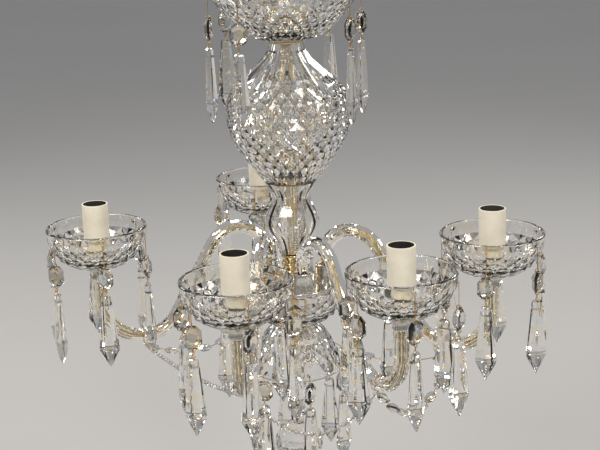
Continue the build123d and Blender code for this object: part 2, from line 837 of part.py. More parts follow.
with BuildPart() as swag_wires:
    with Locations(*arm_places):
        add(arm_ring.part)
    for index, (tail, head, start, end) in enumerate(pin_spans):
        first = index % swag_beads == 0
        last = index % swag_beads == swag_beads - 1
        spans = [(head, end if last else pin_spans[index + 1][0])]
        if first:
            spans.append((start, tail))
        for low_end, high_end in spans:
            reach = (high_end - low_end).length
            with BuildSketch(Plane(origin=low_end, z_dir=(high_end - low_end).normalized())):
                RegularPolygon(wire_radius, 3)
            extrude(amount=reach)
save("swag_wires", swag_wires)
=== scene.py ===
"""Cut-crystal chandelier: its glass, metal and card pieces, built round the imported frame.

Every size property is in metres. Inside the builders all lengths are millimetres, and a finished mesh is
scaled to metres once, by finish_piece. Plan angles are degrees from the front (-Y) towards +X.
"""

import json
import random
from math import atan2, cos, degrees, hypot, pi, radians, sin, tau

import bmesh
import bpy
from bpy.props import FloatProperty, FloatVectorProperty, IntProperty, PointerProperty
from bpy.types import Operator, Panel, PropertyGroup
from mathutils import Matrix, Vector


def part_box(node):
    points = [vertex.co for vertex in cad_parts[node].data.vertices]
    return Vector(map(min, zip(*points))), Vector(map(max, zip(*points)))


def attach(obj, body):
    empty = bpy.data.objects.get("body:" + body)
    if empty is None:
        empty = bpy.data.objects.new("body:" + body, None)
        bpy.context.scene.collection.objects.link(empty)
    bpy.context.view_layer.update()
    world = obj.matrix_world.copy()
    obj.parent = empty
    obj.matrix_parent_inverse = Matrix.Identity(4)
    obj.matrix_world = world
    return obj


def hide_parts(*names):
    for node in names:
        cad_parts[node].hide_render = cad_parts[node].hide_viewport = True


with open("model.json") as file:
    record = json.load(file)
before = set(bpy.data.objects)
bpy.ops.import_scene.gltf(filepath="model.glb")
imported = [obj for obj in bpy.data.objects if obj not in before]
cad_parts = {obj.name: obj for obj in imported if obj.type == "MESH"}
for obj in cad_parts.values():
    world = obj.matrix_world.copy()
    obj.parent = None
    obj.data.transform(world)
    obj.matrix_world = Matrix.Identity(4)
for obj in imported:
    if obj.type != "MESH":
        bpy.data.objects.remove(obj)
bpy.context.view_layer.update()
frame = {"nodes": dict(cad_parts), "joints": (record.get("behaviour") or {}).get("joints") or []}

bl_info = {
    "name": "Cut-crystal chandelier",
    "version": (1, 0, 0),
    "blender": (4, 5, 0),
    "location": "3D View > Sidebar > Chandelier",
    "description": "Builds the glass, brass and candle pieces of a five-arm crystal chandelier",
    "category": "Object",
}

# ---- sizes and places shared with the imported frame
ARM_LETTERS = "cdeab"
ARM_COUNT = len(ARM_LETTERS)
FIRST_CUP = 16.4
CUP_CIRCLE = 33.0
ARM_RADIUS = 7.6
PLATE_THICKNESS = 4.0
TOP_DROPS, PAN_HOLES, DOME_DROPS = 7, 6, 6
HOOK_STAND = 2.0
HOLE_BELOW_RIM = 6.0
METAL_BORE = 5.3
GLASS_BORE = 5.8
TOP_WALL, BODY_WALL, PAN_WALL, LOW_WALL = 4.5, 5.0, 3.5, 4.0
JOINTS = {joint["child"]: joint for joint in frame["joints"]}
UPRIGHT = Matrix.Rotation(pi / 2, 4, "Y")


def mm(metres):
    """A length property in millimetres."""
    return metres * 1000


def plan_point(radius, azimuth, height=0.0):
    """Point at a plan angle and a distance from the column."""
    turn = radians(azimuth)
    return Vector((radius * sin(turn), -radius * cos(turn), height))


def facing(azimuth, point=(0, 0, 0)):
    """Placement whose own +X points outwards at a plan angle."""
    return Matrix.Translation(point) @ Matrix.Rotation(radians(azimuth - 90), 4, "Z")


def node_heights(node):
    """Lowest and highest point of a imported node, in millimetres."""
    low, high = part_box(node)
    return low.z * 1000, high.z * 1000


def azimuth_of(direction):
    """Plan angle of a direction."""
    return degrees(atan2(direction.x, -direction.y))


def drop_pivot(name):
    """Where a drop's wire turns in its rim hole, in millimetres, and the plan angle outwards from the bowl."""
    joint = JOINTS[f"{name}_body"]
    axis = joint["axis"]
    return Vector(joint["pos_m"]) * 1000, azimuth_of(Vector((-axis[1], axis[0], 0)).normalized())


def pan_place(letter):
    """Centre of a pan at the height of its rim, and the plan angle of its first hole."""
    pivots = [drop_pivot(f"pan_{letter}_drop_{hole + 1}") for hole in range(PAN_HOLES)]
    centre = sum((point for point, _ in pivots), Vector()) / PAN_HOLES
    centre.z += HOLE_BELOW_RIM
    return centre, pivots[0][1]


def cup_points():
    """Centres of the arms' cups."""
    return [plan_point(CUP_CIRCLE, FIRST_CUP + 360 / ARM_COUNT * index) for index in range(ARM_COUNT)]


def arm_places():
    """Placement of each arm: its foot in the cup, its own +X towards its pan."""
    centres = [pan_place(letter)[0] for letter in ARM_LETTERS]
    return [facing(azimuth_of(centre - foot), foot) for centre, foot in zip(centres, cup_points())]


def arm_ends():
    """Upright placement through the middle of each pan."""
    return [Matrix.Translation((*pan_place(letter)[0].xy, 0)) for letter in ARM_LETTERS]


# ---- sizes and colours a user may change
def colour_of(name, what, default):
    says = f"Colour of the {what}"
    return FloatVectorProperty(name=name, description=says, subtype="COLOR", size=3, min=0.0, max=1.0, default=default)


def length_of(name, description, default, **limits):
    return FloatProperty(name=name, description=description, unit="LENGTH", default=default, **limits)


def number_of(name, description, default, low, high):
    return FloatProperty(name=name, description=description, min=low, max=high, default=default)


def count_of(name, description, default, low, high):
    return IntProperty(name=name, description=description, min=low, max=high, default=default)


class CrystalLook(PropertyGroup):
    tint: colour_of("Glass Tint", "light that thick glass lets through", (0.985, 0.972, 0.942))
    # the warm and cool colours and the fire strength set painted glints in the glass's base colour
    warm: colour_of("Warm Fire", "warm flashes from the facets", (1.0, 0.84, 0.58))
    cool: colour_of("Cool Fire", "cool flashes from the facets", (0.74, 0.84, 1.0))
    fire: number_of("Fire", "How strongly the facets colour the light", 0.45, 0.0, 1.0)
    refraction: number_of("Refraction", "Refractive index of the lead crystal", 1.57, 1.3, 1.9)


class CuttingSizes(PropertyGroup):
    body_diamonds: count_of("Body Diamonds", "Diamonds round the pear-shaped body", 24, 12, 60)
    bowl_diamonds: count_of("Bowl Diamonds", "Diamonds round the top bowl", 30, 12, 60)
    pan_diamonds: count_of("Pan Diamonds", "Diamonds round a candle pan", 18, 12, 48)
    groove: length_of("Groove Depth", "Depth of the mitred grooves between diamonds", 0.0021, min=0.0002, max=0.003)
    arm_flutes: count_of("Arm Flutes", "Flutes along each glass arm", 8, 4, 16)
    arm_notch: length_of(
        "Arm Notches", "Depth of the notches across the ridges of an arm", 0.00045, min=0.0, max=0.0015
    )


class DropSizes(PropertyGroup):
    octagon_width: length_of("Octagon Width", "Width of an octagon bead", 0.018)
    octagon_height: length_of("Octagon Height", "Height of an octagon bead", 0.022)
    octagon_thickness: length_of("Octagon Thickness", "Thickness of an octagon bead", 0.009)
    prism_length: length_of("Prism Length", "Length of a pointed prism", 0.076)
    prism_width: length_of("Prism Width", "Width across a prism's shoulders", 0.021)
    wire_radius: length_of("Wire Radius", "Radius of the hook and link wires", 0.0005)
    turn_swing: FloatProperty(
        name="Turn Swing",
        description="How far drops are turned from the rim, one way or the other",
        subtype="ANGLE",
        default=radians(38),
    )


class FittingsLook(PropertyGroup):
    brass: colour_of("Brass", "polished brass", (0.84, 0.66, 0.37))
    plate: colour_of("Plated Metal", "plated cups and plate", (0.74, 0.72, 0.68))
    wire: colour_of("Hook Wire", "hook wires", (0.78, 0.5, 0.2))
    sleeve: colour_of("Candle Sleeve", "card sleeves", (0.97, 0.9, 0.74))
    skirt: colour_of("Holder Skirt", "moulded skirt under a sleeve", (0.9, 0.82, 0.62))
    flex: colour_of("Arm Flex", "flex inside the arms", (0.8, 0.7, 0.48))


class StageLook(PropertyGroup):
    floor_colour: colour_of("Floor", "plain floor", (0.58, 0.575, 0.565))
    floor_height: length_of("Floor Height", "Height of the floor below the eye", -0.85)
    surround: number_of("Surround", "Brightness of the room round the chandelier", 0.34, 0.0, 1.0)
    lamp_power: number_of("Lamp Power", "Share of the usual power of every studio lamp", 1.0, 0.0, 4.0)


# ---- shading
def feed(tree, node, inputs):
    """Gives a node's inputs their values, or links sockets into them; a colour gets its alpha."""
    for key, value in inputs.items():
        socket = node.inputs[key]
        if isinstance(value, bpy.types.NodeSocket):
            tree.links.new(value, socket)
        else:
            socket.default_value = (*value[:3], 1) if socket.type == "RGBA" else value


def shader_node(tree, kind, inputs=None, **settings):
    """Adds a node with its settings and what its inputs are given."""
    made = tree.nodes.new(kind)
    for key, value in settings.items():
        setattr(made, key, value)
    feed(tree, made, inputs or {})
    return made


def shader_group(name, inputs, outputs):
    """An empty node group with named sockets, the sockets that it is given, and its output node."""
    group = bpy.data.node_groups.new(name, "ShaderNodeTree")
    for label, kind, value in inputs:
        socket = group.interface.new_socket(name=label, in_out="INPUT", socket_type=f"NodeSocket{kind}")
        socket.default_value = value
    for label, kind in outputs:
        group.interface.new_socket(name=label, in_out="OUTPUT", socket_type=f"NodeSocket{kind}")
    return group, group.nodes.new("NodeGroupInput").outputs, group.nodes.new("NodeGroupOutput")


def product(tree, first, second):
    """Two sockets multiplied."""
    return shader_node(tree, "ShaderNodeMath", {0: first, 1: second}, operation="MULTIPLY").outputs[0]


def blend_colours(tree, factor, first, second):
    """Mix of two colours by a factor socket; a colour may be a socket or a value."""
    inputs = {0: factor, 6: first, 7: second}
    return shader_node(tree, "ShaderNodeMix", inputs, data_type="RGBA", clamp_factor=True).outputs[2]


def spread(tree, value, low, high, to_low, to_high):
    """Value mapped from one range to another and held inside it."""
    inputs = {0: value, 1: low, 2: high, 3: to_low, 4: to_high}
    return shader_node(tree, "ShaderNodeMapRange", inputs, clamp=True).outputs[0]


def object_place(tree):
    """Place on the piece itself."""
    return shader_node(tree, "ShaderNodeTexCoord").outputs["Object"]


def object_noise(tree, scale, detail=2.0, roughness=0.5, stretch=(1, 1, 1)):
    """Noise over the piece's own place, stretched along its axes."""
    mapping = shader_node(tree, "ShaderNodeMapping", {"Vector": object_place(tree), "Scale": stretch})
    inputs = {"Vector": mapping.outputs[0], "Scale": scale, "Detail": detail, "Roughness": roughness}
    return shader_node(tree, "ShaderNodeTexNoise", inputs).outputs[0]


def painted_glints_group():
    """Painted warm and cool glints in the base colour of clear glass, standing in for the flashes of its fire, with the
    faint waves of hand polishing.
    """
    name = "crystal_fire"
    if name in bpy.data.node_groups:
        return bpy.data.node_groups[name]
    inputs = (
        ("Tint", "Color", (1, 1, 1, 1)),
        ("Warm", "Color", (1, 0.8, 0.5, 1)),
        ("Cool", "Color", (0.6, 0.75, 1, 1)),
        ("Fire", "Float", 0.5),
        ("Scale", "Float", 60.0),
        ("Stretch", "Vector", (1, 1, 0.35)),
    )
    outputs = (("Colour", "Color"), ("Roughness", "Float"), ("Height", "Float"))
    group, given, end = shader_group(name, inputs, outputs)
    flashes = object_noise(group, given["Scale"], 1.0, 0.4, given["Stretch"])
    colour = given["Tint"]
    # each narrow band of the noise paints a warm or cool glint into the colour
    for flash, low, middle, high in (("Warm", 0.52, 0.57, 0.62), ("Cool", 0.37, 0.42, 0.47)):
        rise = spread(group, flashes, low, middle, 0, 1)
        fall = spread(group, flashes, middle, high, 1, 0)
        mask = product(group, product(group, rise, fall), given["Fire"])
        colour = blend_colours(group, mask, colour, given[flash])
    film = spread(group, object_noise(group, 14.0, 3.0), 0.35, 0.7, 0.0, 0.035)
    polish = object_noise(group, 95.0, 1.0)
    feed(group, end, {"Colour": colour, "Roughness": film, "Height": polish})
    return group


def handling_group():
    """Patches of dulling and fine scratches, for metal, card and plastic."""
    name = "handling"
    if name in bpy.data.node_groups:
        return bpy.data.node_groups[name]
    inputs = (("Patch Scale", "Float", 30.0), ("Grain Scale", "Float", 400.0))
    outputs = (("Patches", "Float"), ("Grain", "Float"))
    group, given, end = shader_group(name, inputs, outputs)
    patches = object_noise(group, given["Patch Scale"], 4.0, 0.6)
    grain = object_noise(group, given["Grain Scale"], 3.0, 0.6)
    feed(group, end, {"Patches": spread(group, patches, 0.38, 0.68, 0, 1), "Grain": grain})
    return group


def material_base(name):
    """A new material, its node tree and its Principled shader."""
    made = bpy.data.materials.new(name)
    made.use_nodes = True
    return made, made.node_tree, made.node_tree.nodes["Principled BSDF"]


def bump(tree, shader, height, strength, distance):
    """Relief on a shader's normal."""
    relief = shader_node(tree, "ShaderNodeBump", {"Height": height, "Strength": strength, "Distance": distance})
    feed(tree, shader, {"Normal": relief.outputs[0]})


def crystal(name="cut_crystal", painted_glint_share=1.0, scale=60.0, warmth=0.0, stretch=(1, 1, 0.35)):
    """Clear lead crystal; warmth takes its tint towards amber."""
    if name in bpy.data.materials:
        return bpy.data.materials[name]
    look = bpy.context.scene.chandelier_crystal
    made, tree, shader = material_base(name)
    amber_loss = (0.0, 0.05, 0.16)
    values = {
        "Tint": [channel - warmth * loss for channel, loss in zip(look.tint, amber_loss)],
        "Warm": look.warm,
        "Cool": look.cool,
        "Fire": look.fire * painted_glint_share,
        "Scale": scale,
        "Stretch": stretch,
    }
    # the base colour carries painted warm and cool glints from the group
    fire = shader_node(tree, "ShaderNodeGroup", values, node_tree=painted_glints_group()).outputs
    clear = {"IOR": look.refraction, "Transmission Weight": 1.0}
    feed(tree, shader, {"Base Color": fire["Colour"], "Roughness": fire["Roughness"], **clear})
    bump(tree, shader, fire["Height"], strength=0.12, distance=0.0004)
    return made


def drop_crystal():
    """Crystal of the hanging drops, with short bands of painted warm and cool glints across them."""
    return crystal("drop_crystal", painted_glint_share=1.7, scale=62.0, stretch=(1, 1, 1.9))


def worn(name, colour, dulled, smooth, rough, metallic=0.0, patch=30.0, grain=400.0, relief=0.08, depth=0.0002):
    """Metal, card or plastic with duller patches and a fine grain."""
    if name in bpy.data.materials:
        return bpy.data.materials[name]
    made, tree, shader = material_base(name)
    scales = {"Patch Scale": patch, "Grain Scale": grain}
    wear = shader_node(tree, "ShaderNodeGroup", scales, node_tree=handling_group()).outputs
    base = blend_colours(tree, wear["Patches"], colour, dulled)
    polish = spread(tree, wear["Grain"], 0.3, 0.7, smooth, rough)
    feed(tree, shader, {"Base Color": base, "Roughness": polish, "Metallic": metallic})
    bump(tree, shader, wear["Grain"], relief, depth)
    return made


def shade(colour, share):
    """A colour taken darker or lighter by a share."""
    return [min(1.0, channel * share) for channel in colour[:3]]


def fittings():
    return bpy.context.scene.chandelier_fittings


def brass():
    colour = fittings().brass
    return worn(
        "polished_brass", colour, shade(colour, 0.68), 0.1, 0.24, metallic=1.0, grain=300.0, relief=0.04, depth=0.0001
    )


def plated():
    colours = fittings().plate, (0.62, 0.58, 0.5)
    return worn(
        "plated_metal", *colours, 0.1, 0.2, metallic=1.0, patch=20.0, grain=300.0, relief=0.03, depth=0.0001
    )


def hook_wire():
    colour = fittings().wire
    return worn("hook_wire", colour, shade(colour, 0.5), 0.2, 0.42, metallic=1.0, patch=90.0)


def threaded_tube():
    """Plated tube with a fine screw thread."""
    look = fittings()
    made = worn("threaded_tube", shade(look.plate, 1.1), shade(look.brass, 0.8), 0.2, 0.4, metallic=1.0)
    tree = made.node_tree
    waves = {"Vector": object_place(tree), "Scale": 160.0, "Distortion": 0.0}
    thread = shader_node(tree, "ShaderNodeTexWave", waves, bands_direction="Z", wave_profile="TRI")
    bump(tree, tree.nodes["Principled BSDF"], thread.outputs[1], strength=0.7, distance=0.0004)
    return made


# ---- profiles and paths
def band(inner, outer, low, high):
    """Square-cornered section of a ring."""
    return [(inner, low), (outer, low), (outer, high), (inner, high)]


def from_level(level, *points):
    """Profile points whose heights are counted from a level."""
    return [(radius, level + rise) for radius, rise in points]


def bulge(radius, swell, middle, half_height):
    """Half-round ring on a turned profile, from above its middle to below it."""
    turns = [pi / 8 * step for step in range(-4, 5)]
    return [(radius + swell * cos(turn), middle - half_height * sin(turn)) for turn in turns]


def corner_curve(before, corner, after, reach, steps):
    """Points round a corner, from a reach before it to a reach after it."""
    first = corner + (before - corner).normalized() * reach
    last = corner + (after - corner).normalized() * reach
    parts = [step / steps for step in range(steps + 1)]
    return [first.lerp(corner, part).lerp(corner.lerp(last, part), part) for part in parts]


def soft_profile(points, rounding, steps=4):
    """A closed profile with every corner rounded."""
    line = [Vector(point) for point in points]
    rounded = []
    for before, corner, after in zip(line[-1:] + line, line, line[1:] + line[:1]):
        reach = min(rounding, (before - corner).length / 2.2, (after - corner).length / 2.2)
        rounded += corner_curve(before, corner, after, reach, steps)
    return rounded


def eased(corners, rounding, steps=4):
    """Points along a bent line in the XZ plane with its inner corners rounded."""
    line = [Vector(corner) for corner in corners]
    points = line[:1]
    for before, corner, after in zip(line, line[1:], line[2:]):
        points += corner_curve(before, corner, after, rounding, steps)
    return points + line[-1:]


def flowing(points, per_span=6):
    """Points on a smooth curve through (radius, height) points."""
    line = [Vector(point) for point in points]
    line = [line[0] * 2 - line[1]] + line + [line[-1] * 2 - line[-2]]
    flow = []
    for a, b, c, d in zip(line, line[1:], line[2:], line[3:]):
        for step in range(per_span):
            t = step / per_span
            bend = (a * 2 - b * 5 + c * 4 - d) * t * t + (b * 3 - a - c * 3 + d) * t * t * t
            flow.append((b * 2 + (c - a) * t + bend) / 2)
    return flow + [line[-2]]


def bowl_wall(rim, base, depth, fullness, count):
    """Radii and heights down a bowl's wall from its rim at height 0."""
    rows = []
    for step in range(count + 1):
        share = sin(pi / 2 * step / count)
        part = max(0.0, 1 - share**fullness) ** (1 / fullness)
        rows.append((base + (rim - base) * part, -share * depth))
    return rows


def round_rim(outer, inner, height, steps=10):
    """Half round that joins an inner wall to an outer one over the rim, from the inside out."""
    middle, reach = (outer + inner) / 2, (outer - inner) / 2
    turns = [pi * (1 - step / steps) for step in range(1, steps)]
    return [(middle + reach * cos(turn), height + reach * sin(turn)) for turn in turns]


# ---- shaping
def turned(profile, columns=48, closed=True):
    """Turns a profile of (radius, height) points about Z; a closed profile makes a ring."""
    bm = bmesh.new()
    points = [bm.verts.new((radius, 0, height)) for radius, height in profile]
    pairs = list(zip(points, points[1:]))
    if closed:
        pairs.append((points[-1], points[0]))
    geom = points + [bm.edges.new(pair) for pair in pairs]
    bmesh.ops.spin(bm, geom=geom, axis=(0, 0, 1), angle=tau, steps=columns, use_merge=True)
    bmesh.ops.remove_doubles(bm, verts=bm.verts, dist=0.001)
    bmesh.ops.recalc_face_normals(bm, faces=bm.faces)
    return bm


def soft_ring(points, rounding, steps=4, columns=40):
    """A turned ring whose section has rounded corners."""
    return turned(soft_profile(points, rounding, steps), columns)


def washer(outer, low, high, rounding, steps=3, columns=40):
    """A soft ring that fits round the centre tube."""
    return soft_ring(band(METAL_BORE, outer, low, high), rounding, steps, columns)


def move(bm, place):
    bmesh.ops.transform(bm, matrix=place, verts=bm.verts)


def lift(bm, height):
    move(bm, Matrix.Translation((0, 0, height)))


def cut_wall(bm, rows, columns, relief, flat=0.0):
    """Cuts a turned wall: relief(row, column) moves each corner out or in, and quads fold along their grooves.

    A share of each raised point is then ground flat, which leaves mitred grooves between flat-topped diamonds.
    """
    step = tau / columns
    shifts = {}
    for vert in bm.verts:
        radius = hypot(vert.co.x, vert.co.y)
        for row, (row_radius, height) in enumerate(rows):
            if abs(radius - row_radius) + abs(vert.co.z - height) < 0.01:
                break
        else:
            continue
        before = Vector(rows[max(row - 1, 0)])
        after = Vector(rows[min(row + 1, len(rows) - 1)])
        along = (after - before).normalized()
        outward = Vector((vert.co.x, vert.co.y, 0)).normalized() * -along.y + Vector((0, 0, along.x))
        shifts[vert] = relief(row, round(atan2(vert.co.y, vert.co.x) / step) % columns)
        vert.co += outward * shifts[vert]
    points = {}
    for face in list(bm.faces):
        corners = list(face.verts)
        if len(corners) != 4 or any(corner not in shifts for corner in corners):
            continue
        first, second, third, fourth = (shifts[corner] for corner in corners)
        if first == third and second == fourth and first != second:
            low, high = ((0, 2), (1, 3)) if first < second else ((1, 3), (0, 2))
            bmesh.utils.face_split(face, corners[low[0]], corners[low[1]])
            for corner in high:
                points[corners[corner]] = points.get(corners[corner], 0) + 1
    raised = [vert for vert, quads in points.items() if quads == 4]
    if flat and raised:
        bmesh.ops.bevel(
            bm, geom=raised, offset=flat, offset_type="PERCENT", segments=1, profile=0.5, affect="VERTICES", material=-1
        )


def as_mesh(bm, name):
    """A mesh with a bmesh's shape."""
    mesh = bpy.data.meshes.new(name)
    bm.to_mesh(mesh)
    return mesh


def stamp(target, shape, places):
    """Adds a shape to another once at every place, and frees it."""
    mesh = as_mesh(shape, "stamp")
    shape.free()
    for place in places:
        start = len(target.verts)
        target.from_mesh(mesh)
        target.verts.ensure_lookup_table()
        bmesh.ops.transform(target, matrix=place, verts=target.verts[start:])
    bpy.data.meshes.remove(mesh)
    return target


def stamped(shape, places):
    """A new shape made of copies of another."""
    return stamp(bmesh.new(), shape, places)


def gathered(shapes):
    """Shapes put together in one."""
    bm = bmesh.new()
    for shape in shapes:
        stamp(bm, shape, [Matrix()])
    return bm


def rod(bm, radius, length, sides, place):
    """Adds a round rod along a placement's own Z axis."""
    bmesh.ops.create_cone(bm, cap_ends=True, segments=sides, radius1=radius, radius2=radius, depth=length, matrix=place)


def drill(bm, places, radius, length):
    """Round holes through a glass wall; each place's own +X runs along its hole."""
    tools = bmesh.new()
    for place in places:
        rod(tools, radius, length, sides=10, place=place @ UPRIGHT)
    glass = bpy.data.objects.new("glass_blank", as_mesh(bm, "glass_blank"))
    bits = bpy.data.objects.new("drill_bits", as_mesh(tools, "drill_bits"))
    tools.free()
    for thing in (glass, bits):
        bpy.context.scene.collection.objects.link(thing)
    cut = glass.modifiers.new("holes", "BOOLEAN")
    cut.operation = "DIFFERENCE"
    cut.solver = "EXACT"
    cut.object = bits
    depsgraph = bpy.context.evaluated_depsgraph_get()
    drilled = bpy.data.meshes.new_from_object(glass.evaluated_get(depsgraph))
    bm.clear()
    bm.from_mesh(drilled)
    for mesh in (glass.data, bits.data, drilled):
        bpy.data.meshes.remove(mesh)


def drawn_tube(bm, sides, stations, place):
    """Open tube drawn out station by station, each corner put at place(side, station); gives its end rings."""
    ring = bmesh.ops.create_circle(bm, segments=sides, radius=1)["verts"]
    edges = ring_edges(ring)
    made = list(ring)
    for _ in range(stations - 1):
        drawn = bmesh.ops.extrude_edge_only(bm, edges=edges)["geom"]
        ring = [item for item in drawn if isinstance(item, bmesh.types.BMVert)]
        corners = set(ring)
        edges = [item for item in drawn if isinstance(item, bmesh.types.BMEdge) and corners.issuperset(item.verts)]
        bmesh.ops.translate(bm, vec=(0, 0, 1), verts=ring)
        made += ring
    step = tau / sides
    seats = [(vert, round(atan2(vert.co.y, vert.co.x) / step) % sides, round(vert.co.z)) for vert in made]
    for vert, side, station in seats:
        vert.co = place(side, station)
    return [[vert for vert, _, station in seats if station == end] for end in (0, stations - 1)]


def ring_edges(verts):
    """Edges that join a ring's own vertices."""
    corners = set(verts)
    return list({edge for vert in verts for edge in vert.link_edges if corners.issuperset(edge.verts)})


def around(spot, across, radius, turn):
    """Point on a round section whose centre line lies in the XZ plane."""
    return spot + across * (radius * cos(turn)) + Vector((0, radius * sin(turn), 0))


def bent_wire(bm, points, radius, sides=6):
    """Round wire through points in the XZ plane, with its ends closed."""
    line = [Vector(point) for point in points]

    def place(side, station):
        along = (line[min(station + 1, len(line) - 1)] - line[max(station - 1, 0)]).normalized()
        return around(line[station], Vector((-along.z, 0, along.x)), radius, tau * side / sides)

    for end in drawn_tube(bm, sides, len(line), place):
        bmesh.ops.contextual_create(bm, geom=ring_edges(end))


def ring_shape(ring_radius, wire, columns=16, sides=6):
    """Wire ring round the Z axis."""
    turns = [tau * side / sides for side in range(sides)]
    return turned([(ring_radius + wire * cos(turn), wire * sin(turn)) for turn in turns], columns)


def stacked(outlines):
    """Faceted solid drawn through outlines that have the same number of corners."""
    bm = bmesh.new()
    face = bm.faces.new([bm.verts.new(point) for point in outlines[0]])
    for before, outline in zip(outlines, outlines[1:]):
        below = [Vector(point) for point in before]
        drawn = bmesh.ops.extrude_face_region(bm, geom=[face])["geom"]
        face = next(item for item in drawn if isinstance(item, bmesh.types.BMFace))
        for vert in list(face.verts):
            nearest = min(range(len(below)), key=lambda corner: (below[corner] - vert.co).length)
            vert.co = outline[nearest]
    bmesh.ops.recalc_face_normals(bm, faces=bm.faces)
    return bm


def eight_corners(first, second):
    """Outline of eight corners: two of them and their mirror images in both axes."""
    (a, b), (c, d) = first, second
    return [(a, b), (c, d), (-c, d), (-a, b), (-a, -b), (-c, -d), (c, -d), (a, -b)]


def finish_piece(name, bm, material, slot, *nodes, body="root", sharp=18.0):
    """Merges, faces and shades a shape, scales it to metres and hangs it on its body in place of some nodes."""
    bmesh.ops.remove_doubles(bm, verts=bm.verts, dist=0.0008)
    bmesh.ops.recalc_face_normals(bm, faces=bm.faces)
    limit = radians(sharp)
    for face in bm.faces:
        face.smooth = True
    for edge in bm.edges:
        edge.smooth = len(edge.link_faces) == 2 and edge.calc_face_angle(0) < limit
    move(bm, Matrix.Scale(0.001, 4))
    mesh = as_mesh(bm, name)
    bm.free()
    mesh.materials.append(material)
    made = bpy.data.objects.new(name, mesh)
    bpy.context.scene.collection.objects.link(made)
    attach(made, body)
    if nodes:
        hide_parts(*nodes)
    return made


def finish_glass(name, bm, node, sharp=12, material=None):
    """Finishes a piece of cut glass that stands for one node of the fixed body."""
    finish_piece(name, bm, material or crystal(), "cut_glass", node, sharp=sharp)


# ---- stage
class CHANDELIER_OT_stage(Operator):
    """Lay the floor, hang the soft lamps and set the camera"""

    bl_idname = "chandelier.stage"
    bl_label = "Stage"

    def execute(self, context):
        scene = context.scene
        look = scene.chandelier_stage
        scene.view_settings.view_transform = "Standard"
        bm = bmesh.new()
        bmesh.ops.create_circle(bm, cap_ends=True, segments=64, radius=14)
        lift(bm, look.floor_height)
        floor = bpy.data.objects.new("floor", as_mesh(bm, "floor"))
        bm.free()
        scene.collection.objects.link(floor)
        colour = look.floor_colour
        floor.data.materials.append(
            worn("plain_floor", colour, shade(colour, 0.97), 0.7, 0.8, patch=0.8, grain=60.0, relief=0.02)
        )

        world = bpy.data.worlds.new("room")
        world.use_nodes = True
        scene.world = world
        grey = look.surround
        world.node_tree.nodes["Background"].inputs[0].default_value = (grey, grey, grey * 1.02, 1)

        lamps = (
            ("key_lamp", (-1.5, -1.7, 1.3), 0.8, 30.0),
            ("fill_lamp", (1.9, -1.1, 0.6), 0.6, 11.0),
            ("top_lamp", (0.1, 0.4, 1.9), 0.9, 15.0),
            ("left_back_lamp", (-1.7, 1.5, 0.7), 0.6, 11.0),
            ("front_lamp", (0.5, -1.9, 1.5), 0.4, 12.0),
            ("right_back_lamp", (1.5, 1.8, 0.9), 0.6, 11.0),
        )
        for name, place, size, power in lamps:
            lamp = bpy.data.lights.new(name, "AREA")
            lamp.size = size
            lamp.energy = power * look.lamp_power
            lamp.color = (1.0, 0.96, 0.9)
            hung = bpy.data.objects.new(name, lamp)
            hung.location = place
            ahead = Vector((0, 0, -0.3)) - Vector(place)
            hung.rotation_euler = ahead.to_track_quat("-Z", "Y").to_euler()
            hung.visible_camera = False
            scene.collection.objects.link(hung)

        # the camera's place, turns and lens are fitted to the rims of the pans in the photo
        yaw, dip, lean = radians(0.33), radians(15.42), radians(1.8223)
        aim = Matrix.Rotation(-yaw, 4, "Z") @ Matrix.Rotation(pi / 2 - dip, 4, "X") @ Matrix.Rotation(-lean, 4, "Z")
        lens = bpy.data.cameras.new("photo_camera")
        lens.lens = 84
        lens.sensor_width = 36
        camera = bpy.data.objects.new("photo_camera", lens)
        camera.matrix_world = Matrix.Translation((0, -1.4105, 0.0831)) @ aim
        scene.collection.objects.link(camera)
        scene.camera = camera
        return {"FINISHED"}


# ---- bowls and column glass
def groove():
    return mm(bpy.context.scene.chandelier_cutting.groove)


def diamond_bowl(columns, rim, base, depth, fullness, wall, plain_to, flutes_from, count, hole=GLASS_BORE):
    """Cut bowl with its rim at height 0: a plain band, diamonds, then long flutes down to its base."""
    outer = bowl_wall(rim, base, depth, fullness, count)
    inner = bowl_wall(rim - wall, max(base - wall / 2, hole + wall / 2), depth - wall, fullness, count)
    lip = wall / 2
    outer[0] = (rim, -lip)
    inner[0] = (rim - wall, -lip)
    floor = [(hole, -depth), (hole, -depth + wall)]
    bm = turned(outer + floor + inner[::-1] + round_rim(rim, rim - wall, -lip), columns)
    deep = groove()

    def relief(row, column):
        share = -outer[row][1] / depth
        if share < plain_to or row == count:
            return 0.0
        if share < flutes_from:
            return 0.35 * deep if (row + column) % 2 else -0.65 * deep
        fade = min(1.0, (1 - share) * 6)
        return 0.0 if column % 2 else -0.75 * deep * fade

    cut_wall(bm, outer, columns, relief, flat=34)
    return bm


class CHANDELIER_OT_top_bowl(Operator):
    """Cut the wide bowl under the hanging eye and drill its rim"""

    bl_idname = "chandelier.top_bowl"
    bl_label = "Top Bowl"

    def execute(self, context):
        columns = 2 * context.scene.chandelier_cutting.bowl_diamonds
        rim = node_heights("top_bowl")[1]
        bm = diamond_bowl(
            columns, 77.0, 20.0, 57.0, fullness=1.52, wall=TOP_WALL, plain_to=0.16, flutes_from=0.9, count=12
        )
        lift(bm, rim)
        first_hole, holes, reach = 54, 8, 73
        turns = [first_hole + 360 / holes * hole for hole in range(holes)]
        places = [facing(turn, plan_point(reach, turn, rim - HOLE_BELOW_RIM)) for turn in turns]
        drill(bm, places, radius=1.8, length=14)
        finish_glass("top_bowl_cut", bm, "top_bowl")
        return {"FINISHED"}


